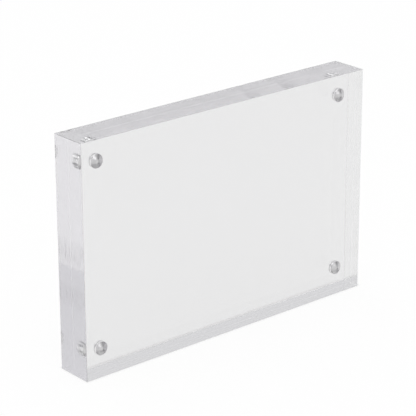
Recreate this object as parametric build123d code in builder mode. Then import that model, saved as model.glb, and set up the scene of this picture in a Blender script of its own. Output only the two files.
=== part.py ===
"""Clear photo frame: two polished acrylic blocks that a pair of magnets near each corner holds together.

Millimetres. The frame stands upright on a long edge: X runs along the face, +Z points up and the front
faces -Y. The origin lies on the surface it stands on, under the middle of the frame.
"""
import os
from math import cos, radians, sin, tan

from build123d import *

# Blocks
face_width = 152.4  # long edge of a 6 x 4 inch print
face_height = 101.6  # short edge of the same print
block_thickness = 8.6
edge_break = 0.1  # hair-fine chamfer on the polished edges, save the ones where the blocks meet

# Magnets
magnet_diameter = 6.0
magnet_length = 3.0  # along the axis, over the blunt point
point_slope = 27.0  # degrees that the coned outer end falls from the middle to its rim
point_radius = 3.0  # rounding that blunts the point
magnet_rim = 0.2  # rounded edges of the plating
magnet_inset = 10.5  # from a magnet's axis to the two nearest edges of its block
magnet_proud = 0.03  # how far a magnet stands out of its block, so that each pair meets face to face
press_fit = 0.02  # how much smaller than its magnet a pocket is, on the radius and at the bottom

# Sizes that follow from the ones above
magnet_radius = magnet_diameter / 2
tip_width = point_radius * sin(radians(point_slope))
tip_drop = point_radius * (1 - cos(radians(point_slope)))
point_drop = tip_drop + (magnet_radius - tip_width) * tan(radians(point_slope))
magnet_side = magnet_length - point_drop
pocket_radius = magnet_radius - press_fit
pocket_side = magnet_side - magnet_proud - press_fit
magnet_span_x = face_width - 2 * magnet_inset
magnet_span_z = face_height - 2 * magnet_inset
mid_height = face_height / 2

# The plane where the magnets meet, as each block sees it: Z points out through the block's face
sides = {
    "front": Plane(origin=(0, 0, mid_height), x_dir=(1, 0, 0), z_dir=(0, -1, 0)),
    "back": Plane(origin=(0, 0, mid_height), x_dir=(-1, 0, 0), z_dir=(0, 1, 0)),
}

# Corners as seen from the front, by their direction from the middle of the face
corners = {
    "top_left": (-1, 1),
    "top_right": (1, 1),
    "bottom_left": (-1, -1),
    "bottom_right": (1, -1),
}


def make_plug(radius, side):
    """Round plug with a bluntly coned end, on the XY plane: the shape of a magnet and of its pocket."""
    tip = side + tip_drop + (radius - tip_width) * tan(radians(point_slope))
    with BuildPart() as plug:
        with BuildSketch(Plane.XZ) as half_section:
            with BuildLine():
                TangentArc((0, tip), (tip_width, tip - tip_drop), tangent=(1, 0))
                Polyline((tip_width, tip - tip_drop), (radius, side), (radius, 0), (0, 0), (0, tip))
            make_face()
            fillet(half_section.vertices().group_by(Axis.X)[-1], radius=magnet_rim)
        revolve(axis=Axis.Z)
    return plug.part


def make_block(meeting_plane):
    """One clear block, with a pocket for a magnet near each corner of its inner face."""
    inner_face = meeting_plane.offset(magnet_proud)
    pocket = make_plug(pocket_radius, pocket_side + magnet_rim)
    with BuildPart() as block:
        with BuildSketch(inner_face):
            Rectangle(face_width, face_height)
        extrude(amount=block_thickness)
        meeting_edges = block.faces().sort_by_distance(meeting_plane.origin)[0].edges()
        chamfer(block.edges() - meeting_edges, length=edge_break)
        with Locations(inner_face.offset(-magnet_rim)):
            with GridLocations(magnet_span_x, magnet_span_z, 2, 2):
                add(pocket, mode=Mode.SUBTRACT)
    return block


def make_magnet(outward, direction):
    """One plated magnet, from the plane where the pair meets to the bottom of its pocket."""
    to_x, to_z = direction
    centre = (to_x * magnet_span_x / 2, 0, mid_height + to_z * magnet_span_z / 2)
    plug = make_plug(magnet_radius, magnet_side)
    with BuildPart() as magnet:
        with Locations(Plane(origin=centre, z_dir=outward)):
            add(plug)
    return magnet


os.makedirs("parts", exist_ok=True)

for side, meeting_plane in sides.items():
    block = make_block(meeting_plane)
    block.part.label = f"{side}_block"
    export_step(block.part, f"parts/{side}_block.step")
    for corner, direction in corners.items():
        magnet = make_magnet(meeting_plane.z_dir, direction)
        magnet.part.label = f"{side}_magnet_{corner}"
        export_step(magnet.part, f"parts/{side}_magnet_{corner}.step")
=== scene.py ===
# %% [markdown]
# # A clear acrylic block frame
#
# This photo holder is two thick plates of polished acrylic. A pair of small nickel-plated magnets
# near each corner pulls the plates together, and a print is slipped in between. Nothing on it is
# coloured: all that the eye gets is refraction, mirror images inside the edges, and eight bits of
# bright metal. So this lesson spends its effort on clean optics: true thickness, true gaps, light
# that has something to show, and enough bounces for it to get out of the block again.

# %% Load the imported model
import math

import bmesh
import bpy
from mathutils import Matrix, Vector


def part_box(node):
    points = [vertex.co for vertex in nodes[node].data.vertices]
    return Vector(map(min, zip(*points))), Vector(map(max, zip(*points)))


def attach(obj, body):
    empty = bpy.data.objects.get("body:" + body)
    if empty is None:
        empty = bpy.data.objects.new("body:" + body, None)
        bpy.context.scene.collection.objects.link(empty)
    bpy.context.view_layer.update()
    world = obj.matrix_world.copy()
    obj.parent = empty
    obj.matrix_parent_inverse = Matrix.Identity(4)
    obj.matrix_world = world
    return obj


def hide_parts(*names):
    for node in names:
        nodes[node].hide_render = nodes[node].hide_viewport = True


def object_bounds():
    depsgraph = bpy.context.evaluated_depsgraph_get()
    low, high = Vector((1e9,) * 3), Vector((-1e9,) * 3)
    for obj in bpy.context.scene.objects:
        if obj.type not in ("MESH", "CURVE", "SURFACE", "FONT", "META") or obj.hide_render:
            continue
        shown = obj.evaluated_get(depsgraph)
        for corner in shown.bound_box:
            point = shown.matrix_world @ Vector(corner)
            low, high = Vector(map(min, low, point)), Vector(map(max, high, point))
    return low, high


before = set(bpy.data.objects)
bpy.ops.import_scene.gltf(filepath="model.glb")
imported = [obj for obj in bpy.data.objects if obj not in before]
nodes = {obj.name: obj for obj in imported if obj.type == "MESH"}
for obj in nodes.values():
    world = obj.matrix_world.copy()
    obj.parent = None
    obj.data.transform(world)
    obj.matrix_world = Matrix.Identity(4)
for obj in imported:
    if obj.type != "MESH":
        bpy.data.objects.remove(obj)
cad_low, cad_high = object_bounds()
scene = bpy.context.scene
print("pieces in the frame:", sorted(nodes))
print("outer size in mm:", [round(1000 * side, 2) for side in cad_high - cad_low])

# %% [markdown]
# ## The camera
#
# A catalogue picture is taken from well back with a long lens, so that upright edges stay almost
# parallel. The camera looks down at the block's front left corner. It could be placed by eye, but
# its direction, distance and lens follow from where the block's corners and magnets fall in the
# picture, and the refracted magnets only land in their places if all of these are right.

# %% Camera
camera_turn = math.radians(40.30)  # to the left of the block's front
camera_height = math.radians(20.78)  # above the floor
camera_roll = math.radians(-0.186)
camera_distance = 0.8169  # metres from the block's middle
camera_lens = 167.9  # millimetres
camera_sensor = 36.0  # millimetres
aim_right = 0.00359  # how far the block's middle lies right of the picture's middle, in metres
aim_below = 0.00284  # and how far below it

block_middle = (cad_low + cad_high) / 2
towards_camera = Vector((
    -math.sin(camera_turn) * math.cos(camera_height),
    -math.cos(camera_turn) * math.cos(camera_height),
    math.sin(camera_height),
))
level_right = Vector((0, 0, 1)).cross(towards_camera).normalized()
level_up = towards_camera.cross(level_right)
picture_right = level_right * math.cos(camera_roll) + level_up * math.sin(camera_roll)
picture_up = level_up * math.cos(camera_roll) - level_right * math.sin(camera_roll)
camera_place = block_middle + towards_camera * camera_distance
camera_place += picture_up * aim_below - picture_right * aim_right

camera_data = bpy.data.cameras.new("camera")
camera_data.lens = camera_lens
camera_data.sensor_width = camera_sensor
camera = bpy.data.objects.new("camera", camera_data)
turned = Matrix((picture_right, picture_up, towards_camera)).transposed().to_4x4()
camera.matrix_world = Matrix.Translation(camera_place) @ turned
scene.collection.objects.link(camera)
scene.camera = camera
print("camera at", [round(part, 4) for part in camera_place])

# %% [markdown]
# ## Light that gets out again
#
# Inside a clear block most light is trapped: it meets the walls at a flat angle, is mirrored whole,
# and zigzags until it reaches an edge. A renderer that gives up after a few bounces paints those
# paths black, and the edges of the block turn into dark stripes. So the limits are raised a long way.

# %% Bounces and view
glass_bounces = 64
scene.cycles.max_bounces = glass_bounces
scene.cycles.glossy_bounces = glass_bounces
scene.cycles.transmission_bounces = glass_bounces
scene.view_settings.view_transform = "Standard"
print("bounces in the clear blocks:", glass_bounces)

# %% [markdown]
# ## A short hand for shader maths
#
# Shader nodes can be wired one by one, but a formula is easier to read. This class wraps a socket,
# so that plus, minus and times between sockets and numbers lay down Math nodes. Every other node
# comes from the one method `node`: its type, its settings, then a value or a socket for each input.
# Three small functions stand for what every finish here needs: an empty material, one axis of a
# vector, and a colour between two others.

# %% Sockets as numbers
class Wire:
    """An output socket of a node tree. Sums with it add Math nodes to that tree."""

    def __init__(self, tree, socket=None):
        self.tree = tree
        self.socket = socket

    def node(self, kind, settings, inputs, output=0):
        """Adds a node of any type. Settings come first, then a value or a wire for each input."""
        made = self.tree.nodes.new(kind)
        for name, value in settings.items():
            if name == "stops":
                ramp = made.color_ramp.elements
                while len(ramp) < len(value):
                    ramp.new(1.0)
                for stop, (place, colour) in zip(ramp, value):
                    stop.position = place
                    stop.color = (*colour, 1.0)
            else:
                setattr(made, name, value)
        for name, value in inputs.items():
            if isinstance(value, Wire):
                self.tree.links.new(value.socket, made.inputs[name])
            else:
                made.inputs[name].default_value = value
        if made.outputs:
            return Wire(self.tree, made.outputs[output])

    def math(self, operation, first, second):
        return self.node("ShaderNodeMath", {"operation": operation}, {0: first, 1: second})

    def __add__(self, other):
        return self.math("ADD", self, other)

    def __radd__(self, other):
        return self.math("ADD", other, self)

    def __sub__(self, other):
        return self.math("SUBTRACT", self, other)

    def __rsub__(self, other):
        return self.math("SUBTRACT", other, self)

    def __mul__(self, other):
        return self.math("MULTIPLY", self, other)

    def __rmul__(self, other):
        return self.math("MULTIPLY", other, self)

    def __abs__(self):
        return self.math("ABSOLUTE", self, 0.0)


def new_finish(name):
    """An empty material and a wire to lay its nodes with."""
    finish = bpy.data.materials.new(name)
    finish.use_nodes = True
    finish.node_tree.nodes.clear()
    return finish, Wire(finish.node_tree)


def along(vector, axis):
    """One axis of a vector, as a number."""
    return vector.node("ShaderNodeSeparateXYZ", {}, {"Vector": vector}, axis)


def mix_colours(share, first, second):
    """A colour between two: the first where the share is 0, the second where it is 1."""
    inputs = {"Factor": share, 6: first, 7: second}
    return share.node("ShaderNodeMix", {"data_type": "RGBA"}, inputs, 2)


print("operators on sockets: + - * abs")

# %% [markdown]
# ## The buffing wheel
#
# The broad faces of the plates are as the sheet was cast, but the edges are sawn, milled and then
# buffed on a wheel, in passes side by side. In the middle of a pass the wheel presses hardest and
# leaves fine ripples along the edge. They have no colour, so they could not be painted on: they bend
# the light, and a mirror image that is seen through them is smeared out. That is why the images of
# the far magnets hardly show in the left end and the top, while the step in the left end, which lies
# between two passes, stays crisp. A cosine is the simplest shape for this: one wave for each pass.

# %% Buffing passes
pass_width = 0.021  # metres from one pass to the next
end_pass = 0.0548  # metres, height of the middle of one pass on the left end
top_pass = 0.0170  # metres, how far right the middle of one pass on the top lies


def passes(place, middle):
    """How hard the wheel pressed: fully in the middle of each pass, not at all between two."""
    swing = place.math("COSINE", (place - middle) * (math.tau / pass_width), 0.0)
    return 0.5 + 0.5 * swing


print("buffing passes on the left end:", round((cad_high.z - cad_low.z) / pass_width, 1))

# %% [markdown]
# ## Polished acrylic
#
# Acrylic bends light a little less than window glass, by an index of 1.49. The broad faces are dead
# smooth apart from a trace of handling. On the edges the ripples of the wheel go into the bump and
# the roughness: deep on the left end, less on the top, and just a trace on the others. The sharp
# outer edges are broken by a hair, and that hair of a chamfer is satin, so it draws a thin grey line
# along each corner. Which face a point lies on is told by its place as well as by its direction,
# because a ray that meets a face from inside the block sees its direction turned round.
#
# A long way through the sheet turns the light a faint lilac grey. That is absorption inside the
# volume, which a surface colour can't give, because it grows with the length of each path.

# %% Acrylic
acrylic_index = 1.49
acrylic_tint = (0.91, 0.91, 0.91, 1.0)  # what one plate lets through
acrylic_inside = (0.05, 0.0, 0.15, 1.0)  # the light that the inside absorbs least
acrylic_density = 1.0  # absorption per metre
satin_tint = (0.74, 0.74, 0.75, 1.0)  # what the broken edges let through
satin_rough = 0.25
square_on = 0.9  # what faces a main direction more than this is square to it
streak_along = 1.0  # streaks per metre along an edge
streak_across = 3600.0  # and across it
streak_middle = 0.5  # the level that a noise swings about
streak_rough = 0.006
ripple_height = 9e-5  # metres, on the left end in the middle of a pass
top_share = 0.4  # how much of it the top has
fine_share = 0.027  # and how much every edge has all over
handling_scale = 38.0  # patches per metre
handling_rough = 0.004


def make_acrylic():
    """The finish of both plates."""
    finish, wire = new_finish("polished_acrylic")
    place = wire.node("ShaderNodeTexCoord", {}, {}, "Object")
    facing = wire.node("ShaderNodeTexCoord", {}, {}, "Normal")
    facing_x = abs(along(facing, "X"))
    facing_y = abs(along(facing, "Y"))
    facing_z = abs(along(facing, "Z"))
    squarest = wire.math("MAXIMUM", facing_x, wire.math("MAXIMUM", facing_y, facing_z))
    satin = wire.math("LESS_THAN", squarest, square_on)

    sideways = along(place, "X")
    height = along(place, "Z")
    edge = 1 - facing_y
    on_end = wire.math("GREATER_THAN", facing_x, square_on)
    left_end = on_end * wire.math("LESS_THAN", sideways, block_middle.x)
    on_level = wire.math("GREATER_THAN", facing_z, square_on)
    top = on_level * wire.math("GREATER_THAN", height, block_middle.z)
    buffed = left_end * passes(height, end_pass)
    buffed += top_share * top * passes(sideways, top_pass)
    buffed += fine_share * edge

    stretched = wire.node(
        "ShaderNodeMapping",
        {},
        {"Vector": place, "Scale": (streak_along, streak_across, streak_along)},
    )
    streaks = wire.node(
        "ShaderNodeTexNoise",
        {},
        {"Vector": stretched, "Scale": 1.0, "Detail": 1.0, "Roughness": 0.5},
    )
    handling = wire.node(
        "ShaderNodeTexNoise",
        {},
        {"Vector": place, "Scale": handling_scale, "Detail": 5.0, "Roughness": 0.65},
    )
    ripple = wire.node(
        "ShaderNodeBump",
        {},
        {"Strength": 1.0, "Distance": ripple_height, "Height": (streaks - streak_middle) * buffed},
        "Normal",
    )
    roughness = handling_rough * handling
    roughness += streak_rough * streaks * edge
    roughness += satin_rough * satin

    surface = wire.node(
        "ShaderNodeBsdfPrincipled",
        {},
        {
            "Base Color": mix_colours(satin, acrylic_tint, satin_tint),
            "Roughness": roughness,
            "IOR": acrylic_index,
            "Transmission Weight": 1.0,
            "Normal": ripple,
        },
    )
    inside = wire.node(
        "ShaderNodeVolumeAbsorption",
        {},
        {"Color": acrylic_inside, "Density": acrylic_density},
    )
    wire.node("ShaderNodeOutputMaterial", {}, {"Surface": surface, "Volume": inside})
    return finish


acrylic = make_acrylic()
for side in ("front", "back"):
    block = nodes[f"{side}_block"]
    for slot in block.material_slots:
        slot.material = acrylic
    print(block.name, "is now", acrylic.name)

# %% [markdown]
# ## Nickel plate
#
# The magnets are tumbled and plated, so they are bright but not mirrors: the finish is a little
# cloudy and covered in tiny dents from rubbing against each other. A plain smooth metal would show
# sharp mirror images of the room. Here a fine noise dents the surface and a slow one clouds the
# roughness and the colour. The back magnets have the same plating, but their colour is painted
# lighter, which is painted light: nothing dark of them shows in the mirror images at the back of the
# top and of the left end.

# %% Nickel
# dull and bright patches of the plating
nickel_tones_back_painted_lighter = {
    "front": ((0.65, 0.645, 0.65, 1.0), (0.80, 0.795, 0.80, 1.0)),
    # the back pair is painted lighter than the front one: painted light, so their mirror images come
    # out pale
    "back": ((0.76, 0.755, 0.76, 1.0), (0.88, 0.875, 0.88, 1.0)),
}
nickel_rough = 0.27
cloud_rough = 0.10  # added where the clouds are thickest
cloud_size = 0.0016  # metres
dent_size = 0.00025  # metres from dent to dent
dent_depth = 4e-6  # metres


def make_nickel(side):
    """The nickel of the front magnets, or of the back ones, whose colour is painted lighter."""
    finish, wire = new_finish(f"nickel_plate_{side}")
    dull, bright = nickel_tones_back_painted_lighter[side]
    place = wire.node("ShaderNodeTexCoord", {}, {}, "Object")
    clouds = wire.node(
        "ShaderNodeTexNoise",
        {},
        {"Vector": place, "Scale": 1 / cloud_size, "Detail": 3.0},
    )
    dents = wire.node(
        "ShaderNodeTexNoise",
        {},
        {"Vector": place, "Scale": 1 / dent_size, "Detail": 2.0},
    )
    dented = wire.node(
        "ShaderNodeBump",
        {},
        {"Strength": 1.0, "Distance": dent_depth, "Height": dents},
        "Normal",
    )
    surface = wire.node(
        "ShaderNodeBsdfPrincipled",
        {},
        {
            "Base Color": mix_colours(clouds, dull, bright),
            "Metallic": 1.0,
            "Roughness": nickel_rough + cloud_rough * clouds,
            "Normal": dented,
        },
    )
    wire.node("ShaderNodeOutputMaterial", {}, {"Surface": surface})
    return finish


nickel = {side: make_nickel(side) for side in nickel_tones_back_painted_lighter}
print("metal finishes:", [finish.name for finish in nickel.values()])

# %% [markdown]
# ## The drilled wall
#
# From the side one hardly sees the metal. A film of air between a magnet and the wall of its pocket
# mirrors light that comes in at a flat angle, so the pocket shows as a pale, silvery band with the
# fine rings that a drill leaves. Where the pocket opens, the band turns grey, which draws the thin
# grey rim round the magnets and frames their images in the left end. The film could be modelled as
# a gap, but a press fit leaves no room for one, so the band is a finish on the magnet's side.

# %% Drilled wall
wall_pale = (0.98, 0.98, 0.98, 1.0)
wall_grey = (0.92, 0.92, 0.92, 1.0)
wall_mouth = (0.45, 0.45, 0.46, 1.0)  # where the pocket opens
wall_rough = 0.10
ring_pitch = 0.00012  # metres from ring to ring
ring_drift = 300.0  # changes per metre on the way round
mouth_start = 0.00015  # metres from the meeting plane to where the mouth's grey starts to fade
mouth_end = 0.0006  # and to where it is gone


def make_drilled_wall():
    """The finish of a magnet's side, as it shows through the wall of its pocket."""
    finish, wire = new_finish("drilled_wall")
    place = wire.node("ShaderNodeTexCoord", {}, {}, "Object")
    ringed = wire.node(
        "ShaderNodeMapping",
        {},
        {"Vector": place, "Scale": (ring_drift, 1 / ring_pitch, ring_drift)},
    )
    rings = wire.node(
        "ShaderNodeTexNoise",
        {},
        {"Vector": ringed, "Scale": 1.0, "Detail": 2.0},
    )
    inner = wire.node(
        "ShaderNodeMapRange",
        {"interpolation_type": "SMOOTHSTEP"},
        {"Value": abs(along(place, "Y")), "From Min": mouth_start, "From Max": mouth_end},
    )
    ring_colour = mix_colours(rings, wall_grey, wall_pale)
    surface = wire.node(
        "ShaderNodeBsdfPrincipled",
        {},
        {
            "Base Color": mix_colours(inner, wall_mouth, ring_colour),
            "Metallic": 1.0,
            "Roughness": wall_rough,
        },
    )
    wire.node("ShaderNodeOutputMaterial", {}, {"Surface": surface})
    return finish


drilled_wall = make_drilled_wall()
print("pocket finish:", drilled_wall.name)

# %% [markdown]
# ## Magnets
#
# Each magnet is a short round slug, pressed into a drilled pocket from the inner face of its plate,
# and its outer end is a blunt, shallow cone like the point of the drill. Seen through the clear
# plate, the cone gives it the look of a small bead: the left flank mirrors the bright studio, and the
# right flank mirrors light that is trapped in the plate, so it goes dark. A flat disc would come out
# as one even grey. The slug is turned as on a lathe: half of the section is drawn once, the blunt tip
# by swinging a single point about the centre of its arc, and then the whole section is spun about
# the axis. Both rims are rounded afterwards with a bevel.

# %% Turn one magnet
point_slope = math.radians(27)  # how steeply the outer end falls from the middle to its rim
point_radius = 0.003  # rounding that blunts the point, in metres
rim_round = 0.0002  # metres
tip_steps = 6
flank_stops = (0.3, 0.6, 0.85, 1.0)  # shares of the way from the tip to the rim
turn_steps = 72
rim_segments = 4
wall_facing = 0.4  # a face that looks along the axis less than this is part of the side
rim_share = 0.999  # what lies further out than this share of the radius is on the side
same_share = 1e-4  # points nearer to each other than this share of the radius are one
sample_size = 0.003  # metres, a radius and a length to try the function with


def turn_magnet(radius, length):
    """A magnet whose flat end lies at the origin and whose blunt point looks along +Y."""
    shape = bmesh.new()
    bmesh.ops.spin(
        shape,
        geom=[shape.verts.new((0, length, 0))],
        cent=(0, length - point_radius, 0),
        axis=(0, 0, 1),
        angle=-point_slope,
        steps=tip_steps,
        space=Matrix.Identity(4),
    )
    last = max(shape.verts, key=lambda vert: vert.co.x)
    tip_end = last.co.copy()
    rim_end = Vector((radius, tip_end.y - (radius - tip_end.x) * math.tan(point_slope), 0))
    flank = [tip_end.lerp(rim_end, stop) for stop in flank_stops]
    for point in [*flank, (radius, 0, 0), (0, 0, 0)]:
        vert = shape.verts.new(point)
        shape.edges.new((last, vert))
        last = vert
    bmesh.ops.spin(
        shape,
        geom=shape.verts[:] + shape.edges[:],
        cent=(0, 0, 0),
        axis=(0, 1, 0),
        angle=math.tau,
        steps=turn_steps,
        use_merge=True,
        space=Matrix.Identity(4),
    )
    bmesh.ops.remove_doubles(shape, verts=shape.verts[:], dist=radius * same_share)
    rims = []
    for edge in shape.edges:
        ends = [vert.co for vert in edge.verts]
        at_side = all(math.hypot(end.x, end.z) > radius * rim_share for end in ends)
        if at_side and abs(ends[0].y - ends[1].y) < radius * same_share:
            rims.append(edge)
    bmesh.ops.bevel(
        shape,
        geom=rims,
        offset=rim_round,
        affect="EDGES",
        segments=rim_segments,
        profile=0.5,
        material=-1,
    )
    bmesh.ops.recalc_face_normals(shape, faces=shape.faces[:])
    for face in shape.faces:
        face.smooth = True
        if abs(face.normal.y) < wall_facing:
            face.material_index = 1
    return shape


sample = turn_magnet(radius=sample_size, length=sample_size)
print("a turned magnet has", len(sample.faces), "faces")
sample.free()

# %% [markdown]
# ## Magnets in their pockets
#
# The four front magnets point forwards and the four back ones backwards, and each pair meets flat to
# flat in the middle of the frame. Sizes and places are read from the frame, so that each slug lies
# exactly in its pocket. A front one is the same slug turned half round the upright axis. The place
# goes into the mesh, and the object itself stays at the origin.

# %% Place the magnets
facing_angle = {"front": math.pi, "back": 0.0}
corners = ("top_left", "top_right", "bottom_left", "bottom_right")


def place_magnet(side, corner):
    """One slug in its pocket, in place of the plain solid of the same name."""
    name = f"{side}_magnet_{corner}"
    low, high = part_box(name)
    middle = (low + high) / 2
    slug = turn_magnet(radius=(high.z - low.z) / 2, length=high.y - low.y)
    meeting_plane = high.y if side == "front" else low.y
    turn = Matrix.Rotation(facing_angle[side], 4, "Z")
    move = Matrix.Translation((middle.x, meeting_plane, middle.z))
    bmesh.ops.transform(slug, matrix=move @ turn, verts=slug.verts[:])
    mesh = bpy.data.meshes.new(f"{name}_slug")
    slug.to_mesh(mesh)
    slug.free()
    mesh.materials.append(nickel[side])
    mesh.materials.append(drilled_wall)
    magnet = bpy.data.objects.new(f"{name}_slug", mesh)
    scene.collection.objects.link(magnet)
    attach(magnet, side)
    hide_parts(name)
    return magnet


for side in facing_angle:
    for corner in corners:
        magnet = place_magnet(side, corner)
        print(magnet.name, len(magnet.data.polygons), "faces")

# %% [markdown]
# ## Floor
#
# The block stands on a white table that runs out of the picture. A white floor alone would come out
# grey in places, because it is lit unevenly. So what the camera, the metal and the clear plates see
# of it is mostly an even white, and a small share of real shading stays in, which keeps the soft
# shadow around the block. Right under the block, and a hair beyond it at the back and on the right,
# the even white is turned down. That is the contact shadow, and the clear block shows it once more
# as the grey of its top. A hair of air between block and floor keeps the underside a mirror, as it
# is under a real block that touches a table at a few points only.

# %% Floor
floor_half = 3.0  # metres
floor_gap = 0.0002  # metres
floor_white = (0.93, 0.93, 0.93, 1.0)
even_share = 0.94
shade_reach = 0.0018  # metres that the contact shadow reaches out at the back and on the right
shade_fade = 0.0004  # metres over which it fades
shade_depth = 0.29  # how much of the even white it takes away


def make_floor_finish():
    """Even white with a contact shadow where it is seen, and plain matt white where it is lit."""
    finish, wire = new_finish("white_table")
    camera_ray = wire.node("ShaderNodeLightPath", {}, {}, "Is Camera Ray")
    glossy_ray = wire.node("ShaderNodeLightPath", {}, {}, "Is Glossy Ray")
    clear_ray = wire.node("ShaderNodeLightPath", {}, {}, "Is Transmission Ray")
    seen = wire.math("MAXIMUM", camera_ray, wire.math("MAXIMUM", glossy_ray, clear_ray))

    place = wire.node("ShaderNodeTexCoord", {}, {}, "Object")
    reach = Vector((shade_reach, shade_reach, 0))
    foot = (cad_high - cad_low + reach) / 2
    foot_middle = (cad_high + cad_low + reach) / 2
    past_x = abs(along(place, "X") - foot_middle.x) - foot.x
    past_y = abs(along(place, "Y") - foot_middle.y) - foot.y
    past = wire.math("MAXIMUM", past_x, past_y)
    under = wire.node(
        "ShaderNodeMapRange",
        {"interpolation_type": "SMOOTHSTEP"},
        {"Value": past, "From Max": shade_fade, "To Min": 1.0, "To Max": 0.0},
    )

    matt = wire.node("ShaderNodeBsdfDiffuse", {}, {"Color": floor_white})
    even = wire.node("ShaderNodeEmission", {}, {"Strength": 1.0})
    share = seen * (even_share - shade_depth * under)
    surface = wire.node("ShaderNodeMixShader", {}, {0: share, 1: matt, 2: even})
    wire.node("ShaderNodeOutputMaterial", {}, {"Surface": surface})
    return finish


floor_shape = bmesh.new()
bmesh.ops.create_grid(floor_shape, x_segments=1, y_segments=1, size=floor_half)
bmesh.ops.translate(floor_shape, vec=(0, 0, cad_low.z - floor_gap), verts=floor_shape.verts[:])
floor_mesh = bpy.data.meshes.new("floor")
floor_shape.to_mesh(floor_mesh)
floor_shape.free()
floor_mesh.materials.append(make_floor_finish())
floor = bpy.data.objects.new("floor", floor_mesh)
scene.collection.objects.link(floor)
print("floor", 2 * floor_half, "m wide")

# %% [markdown]
# ## Studio wall
#
# A clear block shows the room it stands in. The lower part of the front face and of the left end
# are mirrors for what hangs some twenty degrees above the floor behind the block, and they are a
# calm grey, so the studio's wall is grey there. It is white down at the floor, and lighter again
# overhead. The wall could be a real backdrop, but a sky that changes with height is enough.

# %% Sky
sky_white = (1.00, 1.00, 1.00)
sky_grey = (0.81, 0.81, 0.825)
sky_stops = [  # the sine of the height above the horizon, and the colour there
    (0.00, sky_white),
    (0.12, sky_white),
    (0.24, sky_grey),
    (0.48, sky_grey),
    (0.85, sky_white),
]
world = bpy.data.worlds.new("studio")
world.use_nodes = True
world.node_tree.nodes.clear()
scene.world = world
sky = Wire(world.node_tree)
direction = sky.node("ShaderNodeTexCoord", {}, {}, "Generated")
shade = sky.node("ShaderNodeValToRGB", {"stops": sky_stops}, {"Fac": along(direction, "Z")})
light = sky.node("ShaderNodeBackground", {}, {"Color": shade, "Strength": 1.0})
sky.node("ShaderNodeOutputWorld", {}, {"Surface": light})
print("studio grey behind the block:", sky_grey)

# %% [markdown]
# ## Softbox
#
# One softbox, high in front and to the left, puts the highlights on the upper left of the metal. It
# could hang beside the camera, but a corner of a clear block throws light straight back to where it
# came from, and the lower right corner would fill with a white patch. So the lamp stays well away
# from the camera's own direction, and it is weak, because the sky does most of the lighting.

# %% Softbox
softbox_width = 1.0  # metres
softbox_power = 4.9  # watts
softbox_place = Vector((-0.60, -0.85, 1.35))  # metres
softbox_data = bpy.data.lights.new("softbox", "AREA")
softbox_data.shape = "SQUARE"
softbox_data.size = softbox_width
softbox_data.energy = softbox_power
softbox = bpy.data.objects.new("softbox", softbox_data)
softbox.location = softbox_place
softbox.rotation_euler = (block_middle - softbox_place).to_track_quat("-Z", "Y").to_euler()
scene.collection.objects.link(softbox)
print("softbox of", softbox_power, "W at", list(softbox_place))
